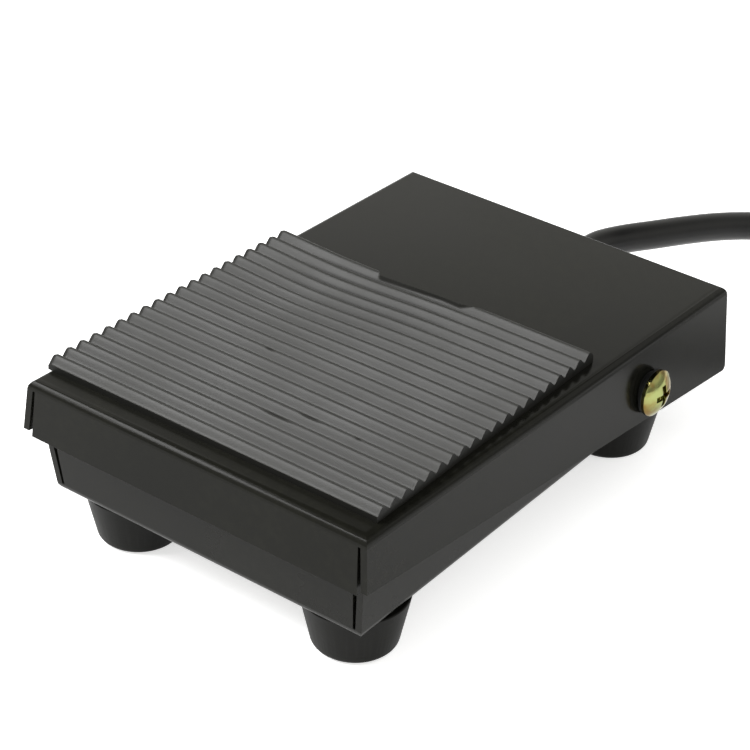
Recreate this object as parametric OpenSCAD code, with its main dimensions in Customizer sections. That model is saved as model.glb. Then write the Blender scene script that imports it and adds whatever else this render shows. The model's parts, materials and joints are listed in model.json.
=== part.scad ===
// Low foot switch: a folded steel pedal with a ribbed rubber tread, hinged on two side screws
// over a folded steel base tray on four rubber feet. A return spring holds the pedal's front up.
// A small snap-action switch on a bracket inside is worked by the pedal's underside through a
// lever, and a three-core cord leaves through the rear wall and ends in bare leads.
// X runs left to right, Y from front to rear and Z up from the floor. Lengths are millimetres.

/* [Pedal cover] */
// Width of the pedal's top
cover_w = 70; // [66:0.5:78]
// Length of the pedal's top from front to rear
cover_l = 104; // [101:0.5:112]
// Thickness of the pedal's sheet steel
cover_t = 1.2; // [0.9:0.1:1.5]
// Inside radius of the pedal's bends
cover_bend = 0.6; // [0.3:0.1:1]
// Depth of the side skirts at the front
skirt_front = 9.5; // [8:0.5:10.5]
// Depth of the side skirts at the rear
skirt_rear = 16.6; // [15.6:0.1:17.4]
// Outward lean of the side skirts, in degrees
skirt_lean = 5.4; // [4:0.1:7]
// Depth of the front flap
flap_front = 10.3; // [9:0.1:11]
// Outward lean of the front flap, in degrees
flap_lean = 3.5; // [2:0.1:5]
// Depth of the short rear flap
flap_rear = 5; // [4:0.5:6]
// Radius of the lower rear corners of the side skirts
skirt_corner_r = 1; // [0.6:0.2:3]
// Width of the open corner beside the front flap, at its top
corner_gap = 0.5; // [0.3:0.1:0.8]
// Upward tilt of the pedal's front at rest, in degrees
rest_tilt = 2; // [1.6:0.1:2.3]
// Angle that the pedal turns when it is pressed, in degrees
travel = 3.4; // [2.5:0.1:3.6]

/* [Pivot] */
// Distance from the pedal's rear edge to the pivot
pivot_back = 26; // [23:0.5:29]
// Height of the pivot over the floor
pivot_z = 20; // [19.6:0.1:20.6]
// Height of the pedal's top over the pivot
cover_rise = 9.3; // [9:0.1:9.8]
// Radius of the pivot screws
pivot_r = 2.5; // [2:0.1:2.6]
// Radius of the pivot screws' heads
pivot_head_r = 4.2; // [4:0.1:4.8]
// Height of the pivot screws' heads
pivot_head_h = 2.3; // [2:0.1:3]
// Wall of the bushes that the pedal turns on
bush_wall = 0.8; // [0.6:0.1:1]
// Thickness of the bushes' flanges
bush_flange_t = 0.6; // [0.4:0.1:0.9]

/* [Tread mat] */
// Distance from the pedal's front edge to the mat
mat_inset = 4.5; // [3:0.5:7]
// Ribs across the tread
mat_ribs = 20; // [16:1:21]
// Distance from the pedal's left edge to the mat
mat_left = 0.2; // [0.1:0.1:2]
// Distance from the pedal's right edge to the mat at its front
mat_right_front = 1.6; // [1:0.1:3]
// Distance from the pedal's right edge to the mat at its rear
mat_right_rear = 3.4; // [1:0.1:4]
// Thickness of the mat under its ribs
mat_base = 1.1; // [0.8:0.1:1.6]
// Height of the ribs
rib_h = 1.3; // [0.8:0.1:1.6]
// Distance from rib to rib
rib_pitch = 3.1; // [2.5:0.1:3.2]

/* [Base tray] */
// Thickness of the base's sheet steel
base_t = 1.2; // [0.9:0.1:1.4]
// Inside radius of the base's bends
base_bend = 0.6; // [0.3:0.1:1]
// Outward lean of the base's side and front walls, in degrees
base_lean = 5.7; // [4:0.1:6]
// Height of the base's side walls over the floor
wall_top = 24.6; // [24.4:0.1:25]
// Least gap from the base's side walls to the skirts
side_gap = 0.4; // [0.3:0.1:0.8]
// Gap from the base's front wall to the front flap
front_gap = 0.7; // [0.7:0.1:1.2]
// Gap from the base's rear wall to the rear flap
rear_gap = 1.2; // [1:0.1:1.8]

/* [Feet] */
// Height of the feet
foot_h = 9.9; // [9:0.1:10]
// Radius of the feet at the base
foot_top_r = 9.2; // [8.4:0.1:9.8]
// Radius of the feet at the floor
foot_low_r = 7.1; // [6.6:0.1:7.8]
// Rounding of the feet's lower edge
foot_round = 1.4; // [0.8:0.1:1.6]
// Distance from the base's sides to the feet's centres
foot_side_inset = 8.9; // [8.5:0.1:12]
// Distance from the base's front to the front feet's centres
foot_front_inset = 9.9; // [9.5:0.1:12]
// Distance from the base's rear to the rear feet's centres
foot_rear_inset = 14.9; // [11:0.1:18]
// Radius of the foot screws
foot_screw_r = 2; // [1.5:0.1:2.2]
// Radius of the wells in the feet
foot_well_r = 4.5; // [4.3:0.1:5]
// Depth of the wells in the feet
foot_well_h = 5; // [4:0.5:6]

/* [Return spring] */
// Distance from the base's front to the spring
spring_inset = 25; // [23:0.5:26]
// Outer radius of the spring
spring_r = 5.5; // [5:0.1:6]
// Radius of the spring's wire
spring_wire_r = 0.6; // [0.5:0.05:0.7]
// Number of turns in the spring
spring_turns = 6; // [4:1:7]
// Radius of the post inside the spring
post_r = 3.2; // [2.5:0.1:3.4]

/* [Switch] */
// Length of the switch case from front to rear
case_l = 19.8; // [19.4:0.1:21]
// Width of the switch case
case_w = 6.4; // [6:0.1:7]
// Height of the switch case
case_h = 10.2; // [10:0.1:10.4]
// Wall of the switch case
case_wall = 0.8; // [0.6:0.1:1]
// Height of the switch case over the base's floor
case_lift = 3.8; // [3.6:0.1:4]
// Distance between the switch's two screws
case_screw_pitch = 9.5; // [9:0.1:10]
// Radius of the switch's screws
case_screw_r = 1.1; // [0.9:0.05:1.2]
// Length of the switch lever from its hinge to its tip
lever_l = 14; // [13:0.1:14.6]
// Thickness of the switch lever
lever_t = 0.35; // [0.25:0.05:0.45]
// Width of the switch lever
lever_w = 2.8; // [2.4:0.1:3]
// Distance from the lever's hinge to the plunger
plunger_arm = 4.5; // [4:0.1:5]
// Radius of the plunger
plunger_r = 0.9; // [0.7:0.05:1.1]
// Thickness of the bracket that carries the switch
bracket_t = 1.2; // [1:0.1:1.5]
// Width of the bracket's foot
bracket_foot_w = 11; // [10:0.5:13]
// Radius of the screws that hold the bracket and the cord clip
small_screw_r = 1.5; // [1.2:0.1:1.6]

/* [Cord] */
// Diameter of the cord
cord_d = 5.6; // [5.2:0.1:5.6]
// Diameter of the cord's cores over their insulation
core_d = 1.6; // [1.4:0.1:1.8]

/* [Hidden] */
$fn = 48;

// Overrun of every cut past the face that it opens
cut = 1;
// Gap between pieces that come close and don't touch
clear = 0.3;
// Radial gap of a screw in its hole or nut
screw_gap = 0.05;
// Radial gap of a turning or sliding fit
run_gap = 0.08;
// Lip left where a corner slot runs beside a skirt or wall
corner_lip = 0.02;

// Corner points in each bend
bend_steps = 6;

// Places along the pedal, from the pivot, in the pedal's own level frame
front_ly = pivot_back - cover_l;
rear_ly = pivot_back;
cover_r = cover_bend + cover_t;
flap_out = flap_front * tan(flap_lean);

// The origin lies under the middle of the whole switch, which sets the pivot's place
low_y = (front_ly - flap_out) * cos(rest_tilt) + (cover_rise - flap_front) * sin(rest_tilt);
high_y = rear_ly * cos(rest_tilt) + (cover_rise - cover_r) * sin(rest_tilt);
pivot_y = -(low_y + high_y) / 2;

// Height of the pedal's underside over the floor at a place, with its front raised by an angle
under_h = cover_rise - cover_t;
function under_z(y, a) = pivot_z + under_h * cos(a) - tan(a) * (y - pivot_y - under_h * sin(a));
pressed_tilt = rest_tilt - travel;

// Base tray
floor_top = foot_h + base_t;
wall_h = wall_top - foot_h;
flap_lz = (wall_top - pivot_z + sin(rest_tilt) * front_ly) / cos(rest_tilt);
flap_ly = front_ly + cover_t / cos(flap_lean) - (cover_rise - flap_lz) * tan(flap_lean);
front_top_y = pivot_y + flap_ly * cos(rest_tilt) + flap_lz * sin(rest_tilt) + front_gap;
front_low_y = front_top_y + wall_h * tan(base_lean);
rear_y = pivot_y + (rear_ly - cover_t) * cos(rest_tilt)
    + (cover_rise - flap_rear) * sin(rest_tilt) - rear_gap;
rear_top = under_z(rear_y, rest_tilt) - clear;
press_depth = under_z(front_top_y, pressed_tilt) + cover_t - wall_top;
half_top = cover_w / 2 + press_depth * tan(skirt_lean) - cover_t / cos(skirt_lean) - side_gap;
half_low = half_top - wall_h * tan(base_lean);
trim_x = half_top - base_t / cos(base_lean) - corner_gap / 2;

// Feet and their screws
foot_ys = [front_low_y + foot_front_inset, rear_y - foot_rear_inset];
foot_places = [for (side = [-1, 1], y = foot_ys) [side * (half_low - foot_side_inset), y]];
head_share = 2;
head_h_share = 1.2;
nut_share = 2;
nut_h_share = 1.6;
screw_tail = 0.8;
slot_share = 0.36;

// Pivot screws, bushes and nuts
bush_r = pivot_r + bush_wall;
flange_r = bush_r + bush_wall;
wall_far_x = half_low + (pivot_z + bush_r - foot_h) * tan(base_lean);
bush_in_x = wall_far_x + screw_gap;
skirt_low_x = cover_w / 2 + (cover_rise + flange_r) * tan(skirt_lean);
flange_x = skirt_low_x + clear / 2;
head_x = flange_x + bush_flange_t;
pivot_nut_h = nut_h_share * pivot_r;
wall_near_x = half_low + (pivot_z - nut_share * pivot_r - foot_h) * tan(base_lean)
    - base_t / cos(base_lean);
nut_x = wall_near_x - clear / 2;
rim_share = 0.3;
recess_share = 0.7;

// Return spring, post and cup
spring_y = front_low_y + spring_inset;
cup_t = 0.8;
cup_depth = 3;
cup_gap = 0.5;
cup_r = spring_r + cup_gap + cup_t;
spring_top = under_z(spring_y + spring_r, rest_tilt) - cup_t - clear;
post_top = under_z(spring_y - post_r, pressed_tilt) - cup_t - clear;
post_rivet_r = 1.6;
post_rivet_head_r = 2.8;
post_rivet_head_h = 0.9;

// Switch
case_gap = 1.5;
case_y0 = spring_y + cup_r + case_gap;
case_y1 = case_y0 + case_l;
case_y = (case_y0 + case_y1) / 2;
case_z0 = floor_top + case_lift;
case_z1 = case_z0 + case_h;
lid_x = case_w / 2 - case_wall;
screw_lift = 2.9;
screw_z = case_z0 + screw_lift;
screw_ys = [case_y - case_screw_pitch / 2, case_y + case_screw_pitch / 2];
boss_r = case_screw_r + case_wall;

// Lever: its hinge, its angle at rest and the place of its tip
pin_r = 0.4;
hinge_inset = 1.8;
hinge_lift = 0.55;
hinge_y = case_y1 - hinge_inset;
hinge_z = case_z1 + hinge_lift;
lever_gap = 0.25;
tip_y = hinge_y - lever_l;
lever_a = asin((under_z(tip_y, rest_tilt) - lever_gap - lever_t / 2 - hinge_z) / lever_l);
ear_t = 0.8;
ear_r = 0.9;
ear_gap = 0.15;
ear_x = lever_w / 2 + ear_gap;

// Plunger
plunger_y = hinge_y - plunger_arm;
plunger_gap = 0.1;
plunger_top = hinge_z + (plunger_arm - plunger_r) * tan(lever_a)
    - lever_t / 2 / cos(lever_a) - plunger_gap;
plunger_drop = 0.6;

// Contacts: the blade, the contact under it that it closes and the one over it that it opens
blade_t = 0.2;
blade_roll_r = 0.3;
strip_w = 2.4;
strip_t = 0.5;
contact_r = 1;
contact_h = 0.35;
contact_open = 0.6;
blade_share = 0.68;
blade_z = case_z0 + blade_share * case_h;
contact_inset = 3.7;
contact_y = case_y0 + contact_inset;
common_y = case_y1 - case_wall - strip_t - clear;
closed_y = case_y0 + case_wall + clear;
roll_y = common_y + strip_t / 2;
roll_z = blade_z + blade_t / 2;
open_top = blade_z - contact_h - contact_open;
open_arm_z = open_top - contact_h - strip_t;
closed_low = blade_z + blade_t + contact_h + plunger_gap;
closed_arm_z = closed_low + contact_h;
open_y = case_y - strip_t / 2;
terminal_l = 2.6;
terminal_z = case_z0 - terminal_l;
wire_z = terminal_z + core_d / 2 + screw_gap;

// Bracket, its screws and the sheet under it
insulator_t = 0.3;
insulator_edge = 1;
bracket_inset = 0.8;
bracket_x = -case_w / 2 - bracket_t;
bracket_top = screw_z + boss_r + case_wall;
bracket_z = floor_top + insulator_t;
bracket_screw_x = bracket_x - bracket_foot_w / 2 - case_wall;
bracket_screw_ys = [case_y - case_l / 4, case_y + case_l / 4];
bracket_foot_top = bracket_z + bracket_t;

// Cord: the free stretch's points, from the tip of the strain relief to the coil on the floor
cord_route = [
    [-1.5, 63, 17], [-1.5, 66.5, 17], [-0.7, 70, 16.7], [1, 74.5, 16.2], [3.3, 80, 15.4],
    [6, 87, 14.3], [9, 94.5, 12.9], [12.3, 101.6, 11.2], [16, 107.8, 9.4], [21, 114, 7.5],
    [27.2, 120, 5.7], [34.4, 125.5, 4.3], [42.5, 129.7, 3.4], [51, 132.7, 2.9],
    [58, 133.6, 2.8], [64.5, 133.6, 2.8]
];
cord_x = cord_route[0][0];
cord_z = cord_route[0][2];
cord_r = cord_d / 2;
cord_sides = 10;
core_sides = 8;

// Coil: turns in each layer, gap from turn to turn, and its outer and floor places
coil_x = 70;
coil_turns = 2.5;
coil_gap = 0.45;
coil_sides = 6;
coil_rings = 24;
coil_step = cord_d + coil_gap;
coil_top_y = cord_route[15][1];
coil_r_in = 20.5;
coil_r_out = coil_r_in + coil_turns * coil_step;
coil_y = coil_top_y - coil_r_out;
coil_z = cord_route[15][2];

// Strain relief, with radial shares of the cord
relief_neck_r = cord_r + 1.4;
relief_flange_r = cord_r + 2.4;
relief_flange_t = 1.5;
relief_inner_t = 5.6;
relief_tail_r = cord_r + 1.9;
relief_tip_r = cord_r + 0.9;
relief_bore_r = cord_r + screw_gap;
relief_grooves = 3;
groove_depth = 0.5;
groove_w = 1;

// Cord inside the base, its clip and its cores
clip_t = 0.8;
clip_w = 8;
clip_back = 14;
clip_y = rear_y - clip_back;
inner_l = 4.6;
inner_end_y = clip_y - clip_w / 2 - inner_l;
clip_foot_l = 6;
clip_r = cord_r + screw_gap;
clip_screw_x = cord_x + clip_r + clip_t + clip_foot_l / 2;
core_ring_r = core_d * 0.66;
core_aside = [0, 4.8, 8.6];
core_steps = 10;
core_turns = [210, 90, 330];
core_start_l = 0.5;
core_wait_share = [0, 0.5, 0];
core_fall_share = 0.5;

// Bare leads at the cord's far end, laid on the coil's lower turn
lead_turn = 42;
lead_rings = 14;
lead_rise_share = 0.5;
tip_l = 5;
tip_r = 0.5;
lead_end = [coil_x + cord_d, coil_top_y, coil_z + coil_step];
lead_start = atan(cord_d / coil_r_out);
lead_far_r = norm([cord_d, coil_r_out]);
lead_drop = coil_step - cord_r - core_ring_r / 2 - core_d / 2 - screw_gap;

function arc(x, side, lean, r) = let (t = r / tan(45 + lean / 2))
    [for (i = [0:bend_steps]) let (a = -90 + (90 - lean) * i / bend_steps)
        [x + side * (r * cos(a) - t), r + r * sin(a)]];
function flip(p) = [for (i = [len(p) - 1:-1:0]) p[i]];

// Outline of a folded pan: a flat bottom from x0 to x1 and walls that lean outwards over a height
function pan(x0, x1, lean0, lean1, h, r) = concat(
    arc(x1, 1, lean1, r), [[x1 + h * tan(lean1), h], [x0 - h * tan(lean0), h]],
    flip(arc(x0, -1, lean0, r)));
function inset(lean, t) = t / cos(lean) - t * tan(lean);

module along_y(y0, y1) {
    translate([0, y1, 0])
        rotate([90, 0, 0])
            linear_extrude(y1 - y0)
                children();
}

module along_x(x0, x1) {
    translate([x0, 0, 0])
        rotate([90, 0, 90])
            linear_extrude(x1 - x0)
                children();
}

// Solid between the two outlines of a pan that is half as wide as x and runs from y0 to y1
module pan_block(x, y0, y1, lean_x, lean_y, h, r) {
    spread = h * tan(max(lean_x, lean_y)) + cut;
    intersection() {
        along_y(y0 - spread, y1 + cut)
            polygon(pan(-x, x, lean_x, lean_x, h, r));
        along_x(-x - spread, x + spread)
            polygon(pan(y0, y1, lean_y, 0, h, r));
    }
}

// Folded sheet pan, open upwards, with its fold plane at zero height
module folded_pan(x, y0, y1, lean_x, lean_y, h, t, r, gap) {
    difference() {
        pan_block(x, y0, y1, lean_x, lean_y, h, r + t);
        translate([0, 0, t])
            pan_block(x - inset(lean_x, t), y0 + inset(lean_y, t), y1 - t,
                lean_x, lean_y, h - t + cut, r);
        corner_slots(x, y0 - h * tan(lean_y) - cut, y0 + t + r, lean_x, h, t, r, gap);
        corner_slots(x, y1 - t - r, y1 + cut, lean_x, h, t, r, gap);
    }
}

// Slots beside the side walls, open at the rim and narrow at the fold
module corner_slots(x, y0, y1, lean, h, t, r, gap) {
    z0 = t + r;
    z1 = h + cut;
    face = x - t / cos(lean) - corner_lip;
    for (side = [-1, 1])
        along_y(y0, y1)
            polygon([
                [side * (face + z0 * tan(lean)), z0],
                [side * (face + z1 * tan(lean)), z1],
                [side * (face + z1 * tan(lean) - 2 * gap), z1],
                [side * (face + z0 * tan(lean) - gap), z0]
            ]);
}

// Moves a piece of the pedal from its level frame, with the pivot at zero, to its place at rest
module pedal_frame() {
    translate([0, pivot_y, pivot_z])
        rotate([-rest_tilt, 0, 0])
            children();
}

function unit(v) = v / norm(v);
function heading(p, i) =
    i == 0 ? unit(p[1] - p[0])
    : i == len(p) - 1 ? unit(p[i] - p[i - 1])
    : unit(unit(p[i + 1] - p[i]) + unit(p[i] - p[i - 1]));
function tube_ring(p, i, r, n) =
    let (t = heading(p, i), s = unit(cross(t, [0, 0, 1])), u = cross(s, t))
    [for (k = [0:n - 1]) p[i] + r * (cos(360 * k / n) * s + sin(360 * k / n) * u)];

// Round tube along a list of points
module tube(p, r, n) {
    last = (len(p) - 1) * n;
    polyhedron(
        [for (i = [0:len(p) - 1]) each tube_ring(p, i, r, n)],
        concat(
            [for (i = [0:len(p) - 2], k = [0:n - 1])
                let (a = i * n + k, b = i * n + (k + 1) % n) [a, b, b + n]],
            [for (i = [0:len(p) - 2], k = [0:n - 1])
                let (a = i * n + k, b = i * n + (k + 1) % n) [a, b + n, a + n]],
            [for (k = [1:n - 2]) [0, k + 1, k]],
            [for (k = [1:n - 2]) [last, last + k, last + k + 1]]
        )
    );
}

// Least gap between the turns of a wound tube, measured on its points
function wound_gap(p, d, per_turn) = min([
    for (i = [0:len(p) - 1], j = [i + floor(per_turn / 2):len(p) - 1])
        if (j > i) norm(p[i] - p[j]) - d
]);

module hex_nut(r, h) {
    difference() {
        cylinder(r = nut_share * r, h = h, $fn = 6);
        translate([0, 0, -cut])
            cylinder(r = r + screw_gap, h = h + 2 * cut);
    }
}

// Pan-head screw with its head under zero height and its shank up to a height
module screw(r, l) {
    head_r = head_share * r;
    head_h = head_h_share * r;
    difference() {
        union() {
            translate([0, 0, -head_h / 2])
                cylinder(r = r, h = l + head_h / 2);
            rotate_extrude()
                polygon([[0, -head_h], [head_r * (1 - slot_share / 2), -head_h],
                    [head_r, -head_h / 2], [head_r, 0], [0, 0]]);
        }
        cross_recess(head_r, head_h);
    }
}

module cross_recess(head_r, head_h) {
    w = head_r * slot_share;
    l = head_r * (1 + slot_share);
    for (a = [0, 90])
        rotate([0, 0, a])
            translate([-l / 2, -w / 2, -head_h - cut])
                cube([l, w, head_h / 2 + cut]);
}

module base_tray() {
    color([0.13, 0.13, 0.12])
        difference() {
            translate([0, 0, foot_h])
                folded_pan(half_low, front_low_y, rear_y, base_lean, base_lean,
                    rear_top - foot_h, base_t, base_bend, corner_gap);
            translate([-half_top - wall_h, front_top_y - wall_h, wall_top])
                cube([2 * (half_top + wall_h), rear_y - base_t - front_top_y + wall_h, wall_h]);
            for (side = [0, 1])
                mirror([side, 0, 0])
                    translate([trim_x, rear_y - base_t - cut, wall_top])
                        cube([wall_h, base_t + 2 * cut, wall_h]);
            for (p = foot_places)
                translate([p[0], p[1], foot_h - cut])
                    cylinder(r = foot_screw_r + screw_gap, h = base_t + 2 * cut);
            for (y = bracket_screw_ys)
                translate([bracket_screw_x, y, foot_h - cut])
                    cylinder(r = small_screw_r + screw_gap, h = base_t + 2 * cut);
            translate([clip_screw_x, clip_y, foot_h - cut])
                cylinder(r = small_screw_r + screw_gap, h = base_t + 2 * cut);
            translate([0, spring_y, foot_h - cut])
                cylinder(r = post_rivet_r + screw_gap, h = base_t + 2 * cut);
            translate([-half_top - cut, pivot_y, pivot_z])
                rotate([0, 90, 0])
                    cylinder(r = pivot_r + screw_gap, h = 2 * (half_top + cut));
            translate([cord_x, rear_y + cut, cord_z])
                rotate([90, 0, 0])
                    cylinder(r = relief_neck_r + screw_gap, h = base_t + 2 * cut);
        }
}

// Tapered foot with a rounded lower edge and a well for its screw, standing at zero height
module rubber_foot(i) {
    slope = atan((foot_top_r - foot_low_r) / foot_h);
    edge_r = foot_low_r + foot_round * tan(slope);
    color([0.1, 0.1, 0.1])
        translate([foot_places[i][0], foot_places[i][1], 0])
            rotate_extrude()
                polygon(concat(
                    [[foot_well_r, 0]],
                    [for (k = [0:bend_steps]) let (a = -90 + (90 - slope) * k / bend_steps)
                        [edge_r - foot_round + foot_round * cos(a),
                            foot_round + foot_round * sin(a)]],
                    [[foot_top_r, foot_h], [foot_screw_r + screw_gap, foot_h],
                        [foot_screw_r + screw_gap, foot_well_h], [foot_well_r, foot_well_h]]
                ));
}

module foot_front_left() {
    rubber_foot(0);
}

module foot_rear_left() {
    rubber_foot(1);
}

module foot_front_right() {
    rubber_foot(2);
}

module foot_rear_right() {
    rubber_foot(3);
}

module foot_screws() {
    color([0.75, 0.75, 0.75])
        for (p = foot_places)
            translate([p[0], p[1], foot_well_h])
                screw(foot_screw_r, floor_top - foot_well_h + nut_h_share * foot_screw_r + screw_tail);
}

module foot_nuts() {
    color([0.75, 0.75, 0.75])
        for (p = foot_places)
            translate([p[0], p[1], floor_top])
                hex_nut(foot_screw_r, nut_h_share * foot_screw_r);
}

// Region under the sloping lower edges of the skirts, with the rounded rear corners
module skirt_cut() {
    side_x = cover_w / 2 + skirt_front * tan(skirt_lean) - cover_t / cos(skirt_lean) - corner_gap / 2;
    corner = [rear_ly, cover_rise - skirt_rear];
    slope = unit([front_ly, cover_rise - skirt_front] - corner);
    up = [0, 1];
    half = acos(slope * up) / 2;
    middle = corner + unit(slope + up) * skirt_corner_r / sin(half);
    turn0 = 0;
    turn1 = -180 + 2 * half;
    far = corner + slope * (cover_l / cos(atan(slope[1] / slope[0])) + flap_out + cut);
    depth = skirt_rear;
    outline = concat(
        [[rear_ly + cut, middle[1]]],
        [for (k = [0:bend_steps]) let (a = turn0 + turn1 * k / bend_steps)
            middle + skirt_corner_r * [cos(a), sin(a)]],
        [far, [far[0], corner[1] - depth], [rear_ly + cut, corner[1] - depth]]
    );
    for (side = [0, 1])
        mirror([side, 0, 0])
            along_x(side_x, cover_w)
                polygon(outline);
}

module pedal_cover() {
    flap_face = cover_w / 2 - cover_t / cos(skirt_lean) - corner_lip;
    rear_x = flap_face + flap_rear * tan(skirt_lean);
    deep_x = flap_face + (skirt_rear + cut) * tan(skirt_lean);
    color([0.2, 0.2, 0.18])
        pedal_frame()
            difference() {
                translate([0, 0, cover_rise])
                    mirror([0, 0, 1])
                        folded_pan(cover_w / 2, front_ly, rear_ly, skirt_lean, flap_lean,
                            skirt_rear, cover_t, cover_bend, corner_gap);
                skirt_cut();
                // Lower edge of the front flap
                translate([-cover_w / 2, front_ly - flap_out - cut, cover_rise - flap_front - cover_w])
                    cube([cover_w, flap_out + cover_t + 2 * cut, cover_w]);
                // Lower edge of the rear flap
                translate([0, 0, cover_rise])
                    along_y(rear_ly - cover_t - cut, rear_ly + cut)
                        polygon([[-rear_x, -flap_rear], [rear_x, -flap_rear],
                            [deep_x, -skirt_rear - cut], [-deep_x, -skirt_rear - cut]]);
                translate([-cover_w, 0, 0])
                    rotate([0, 90, 0])
                        cylinder(r = bush_r + run_gap, h = 2 * cover_w);
            }
}

// Mat with triangular ribs across it, its right edge trimmed a little out of square
module tread_mat() {
    y0 = front_ly + mat_inset;
    y1 = y0 + mat_ribs * rib_pitch;
    x0 = mat_left - cover_w / 2;
    top = [for (i = [0:mat_ribs - 1]) each [
        [y0 + i * rib_pitch, mat_base],
        [y0 + (i + 0.5) * rib_pitch, mat_base + rib_h]
    ]];
    color([0.45, 0.45, 0.43])
        pedal_frame()
            translate([0, 0, cover_rise])
                difference() {
                    along_x(x0, cover_w / 2)
                        polygon(concat([[y1, 0], [y0, 0]], top, [[y1, mat_base]]));
                    translate([0, 0, -cut])
                        linear_extrude(mat_base + rib_h + 2 * cut)
                            polygon([
                                [cover_w / 2 - mat_right_front, y0],
                                [cover_w / 2 - mat_right_rear, y1],
                                [cover_w / 2 - mat_right_rear, y1 + cut],
                                [cover_w / 2 + cut, y1 + cut],
                                [cover_w / 2 + cut, y0 - cut],
                                [cover_w / 2 - mat_right_front, y0 - cut]
                            ]);
                }
}

// Pivot screw on the right side, along X, with its domed head outside
module pivot_screw() {
    rise = pivot_head_h * rim_share;
    bulge = pivot_head_h - rise;
    dome_r = (pivot_head_r * pivot_head_r + bulge * bulge) / (2 * bulge);
    color([0.8, 0.78, 0.4])
        translate([0, pivot_y, pivot_z])
            rotate([0, 90, 0])
                difference() {
                    union() {
                        translate([0, 0, nut_x - pivot_nut_h - screw_tail])
                            cylinder(r = pivot_r,
                                h = head_x + rise + pivot_nut_h + screw_tail - nut_x);
                        translate([0, 0, head_x])
                            intersection() {
                                cylinder(r = pivot_head_r, h = pivot_head_h);
                                translate([0, 0, pivot_head_h - dome_r])
                                    sphere(r = dome_r, $fn = 64);
                            }
                    }
                    translate([0, 0, head_x + pivot_head_h])
                        mirror([0, 0, 1])
                            translate([0, 0, pivot_head_h])
                                cross_recess(pivot_head_r * recess_share, pivot_head_h);
                }
}

module pivot_screw_right() {
    pivot_screw();
}

module pivot_screw_left() {
    mirror([1, 0, 0])
        pivot_screw();
}

// Flanged bush that stands still on the base while the pedal's skirt turns round it
module pivot_bush() {
    color([0.1, 0.1, 0.1])
        translate([0, pivot_y, pivot_z])
            rotate([0, 90, 0])
                difference() {
                    union() {
                        translate([0, 0, bush_in_x])
                            cylinder(r = bush_r, h = head_x - bush_in_x);
                        translate([0, 0, flange_x])
                            cylinder(r = flange_r, h = bush_flange_t);
                    }
                    translate([0, 0, bush_in_x - cut])
                        cylinder(r = pivot_r + screw_gap, h = head_x - bush_in_x + 2 * cut);
                }
}

module pivot_bush_right() {
    pivot_bush();
}

module pivot_bush_left() {
    mirror([1, 0, 0])
        pivot_bush();
}

module pivot_nuts() {
    color([0.75, 0.75, 0.75])
        for (side = [0, 1])
            mirror([side, 0, 0])
                translate([nut_x - pivot_nut_h, pivot_y, pivot_z])
                    rotate([0, 90, 0])
                        hex_nut(pivot_r, pivot_nut_h);
}

// Compression spring between the base's floor and the cup under the pedal
module return_spring() {
    rings = 12;
    seat = floor_top + spring_wire_r + screw_gap;
    mid_r = spring_r - spring_wire_r;
    rise = spring_top - spring_wire_r - seat;
    points = [for (i = [0:rings * spring_turns]) let (a = 360 * i / rings)
        [mid_r * cos(a), spring_y + mid_r * sin(a), seat + rise * i / (rings * spring_turns)]];
    echo(spring_gap = wound_gap(points, 2 * spring_wire_r, rings));
    color([0.8, 0.8, 0.82])
        tube(points, spring_wire_r, coil_sides);
}

// Riveted post that guides the spring and stops the pedal's travel
module spring_post() {
    color([0.75, 0.75, 0.75])
        translate([0, spring_y, 0])
            rotate_extrude()
                polygon([
                    [0, foot_h - post_rivet_head_h],
                    [post_rivet_head_r * (1 - slot_share), foot_h - post_rivet_head_h],
                    [post_rivet_head_r, foot_h], [post_rivet_r, foot_h], [post_rivet_r, floor_top],
                    [post_r, floor_top], [post_r, post_top], [0, post_top]
                ]);
}

// Cup welded under the pedal that holds the spring's upper end
module spring_cup() {
    ly = (spring_y - pivot_y) / cos(rest_tilt) - under_h * tan(rest_tilt);
    color([0.75, 0.75, 0.75])
        pedal_frame()
            translate([0, ly, under_h - cup_t - cup_depth])
                difference() {
                    cylinder(r = cup_r, h = cup_t + cup_depth);
                    translate([0, 0, -cut])
                        cylinder(r = cup_r - cup_t, h = cup_depth + cut);
                }
}

module insulator() {
    x0 = bracket_x - bracket_foot_w - insulator_edge;
    color([0.75, 0.65, 0.45])
        difference() {
            translate([x0, case_y0 - insulator_edge, floor_top])
                cube([case_w / 2 + insulator_edge - x0, case_l + 2 * insulator_edge, insulator_t]);
            for (y = bracket_screw_ys)
                translate([bracket_screw_x, y, floor_top - cut])
                    cylinder(r = small_screw_r + screw_gap, h = insulator_t + 2 * cut);
        }
}

module switch_bracket() {
    y0 = case_y0 + bracket_inset;
    l = case_l - 2 * bracket_inset;
    color([0.75, 0.75, 0.75])
        difference() {
            union() {
                translate([bracket_x, y0, bracket_z])
                    cube([bracket_t, l, bracket_top - bracket_z]);
                translate([bracket_x - bracket_foot_w, y0, bracket_z])
                    cube([bracket_foot_w + bracket_t, l, bracket_t]);
            }
            for (y = bracket_screw_ys)
                translate([bracket_screw_x, y, bracket_z - cut])
                    cylinder(r = small_screw_r + screw_gap, h = bracket_t + 2 * cut);
            for (y = screw_ys)
                translate([bracket_x - cut, y, screw_z])
                    rotate([0, 90, 0])
                        cylinder(r = case_screw_r + screw_gap, h = bracket_t + 2 * cut);
        }
}

module bracket_screws() {
    color([0.75, 0.75, 0.75])
        for (y = bracket_screw_ys)
            translate([bracket_screw_x, y, foot_h])
                screw(small_screw_r, bracket_foot_top - foot_h + nut_h_share * small_screw_r
                    + screw_tail);
}

module bracket_nuts() {
    color([0.75, 0.75, 0.75])
        for (y = bracket_screw_ys)
            translate([bracket_screw_x, y, bracket_foot_top])
                hex_nut(small_screw_r, nut_h_share * small_screw_r);
}

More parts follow.
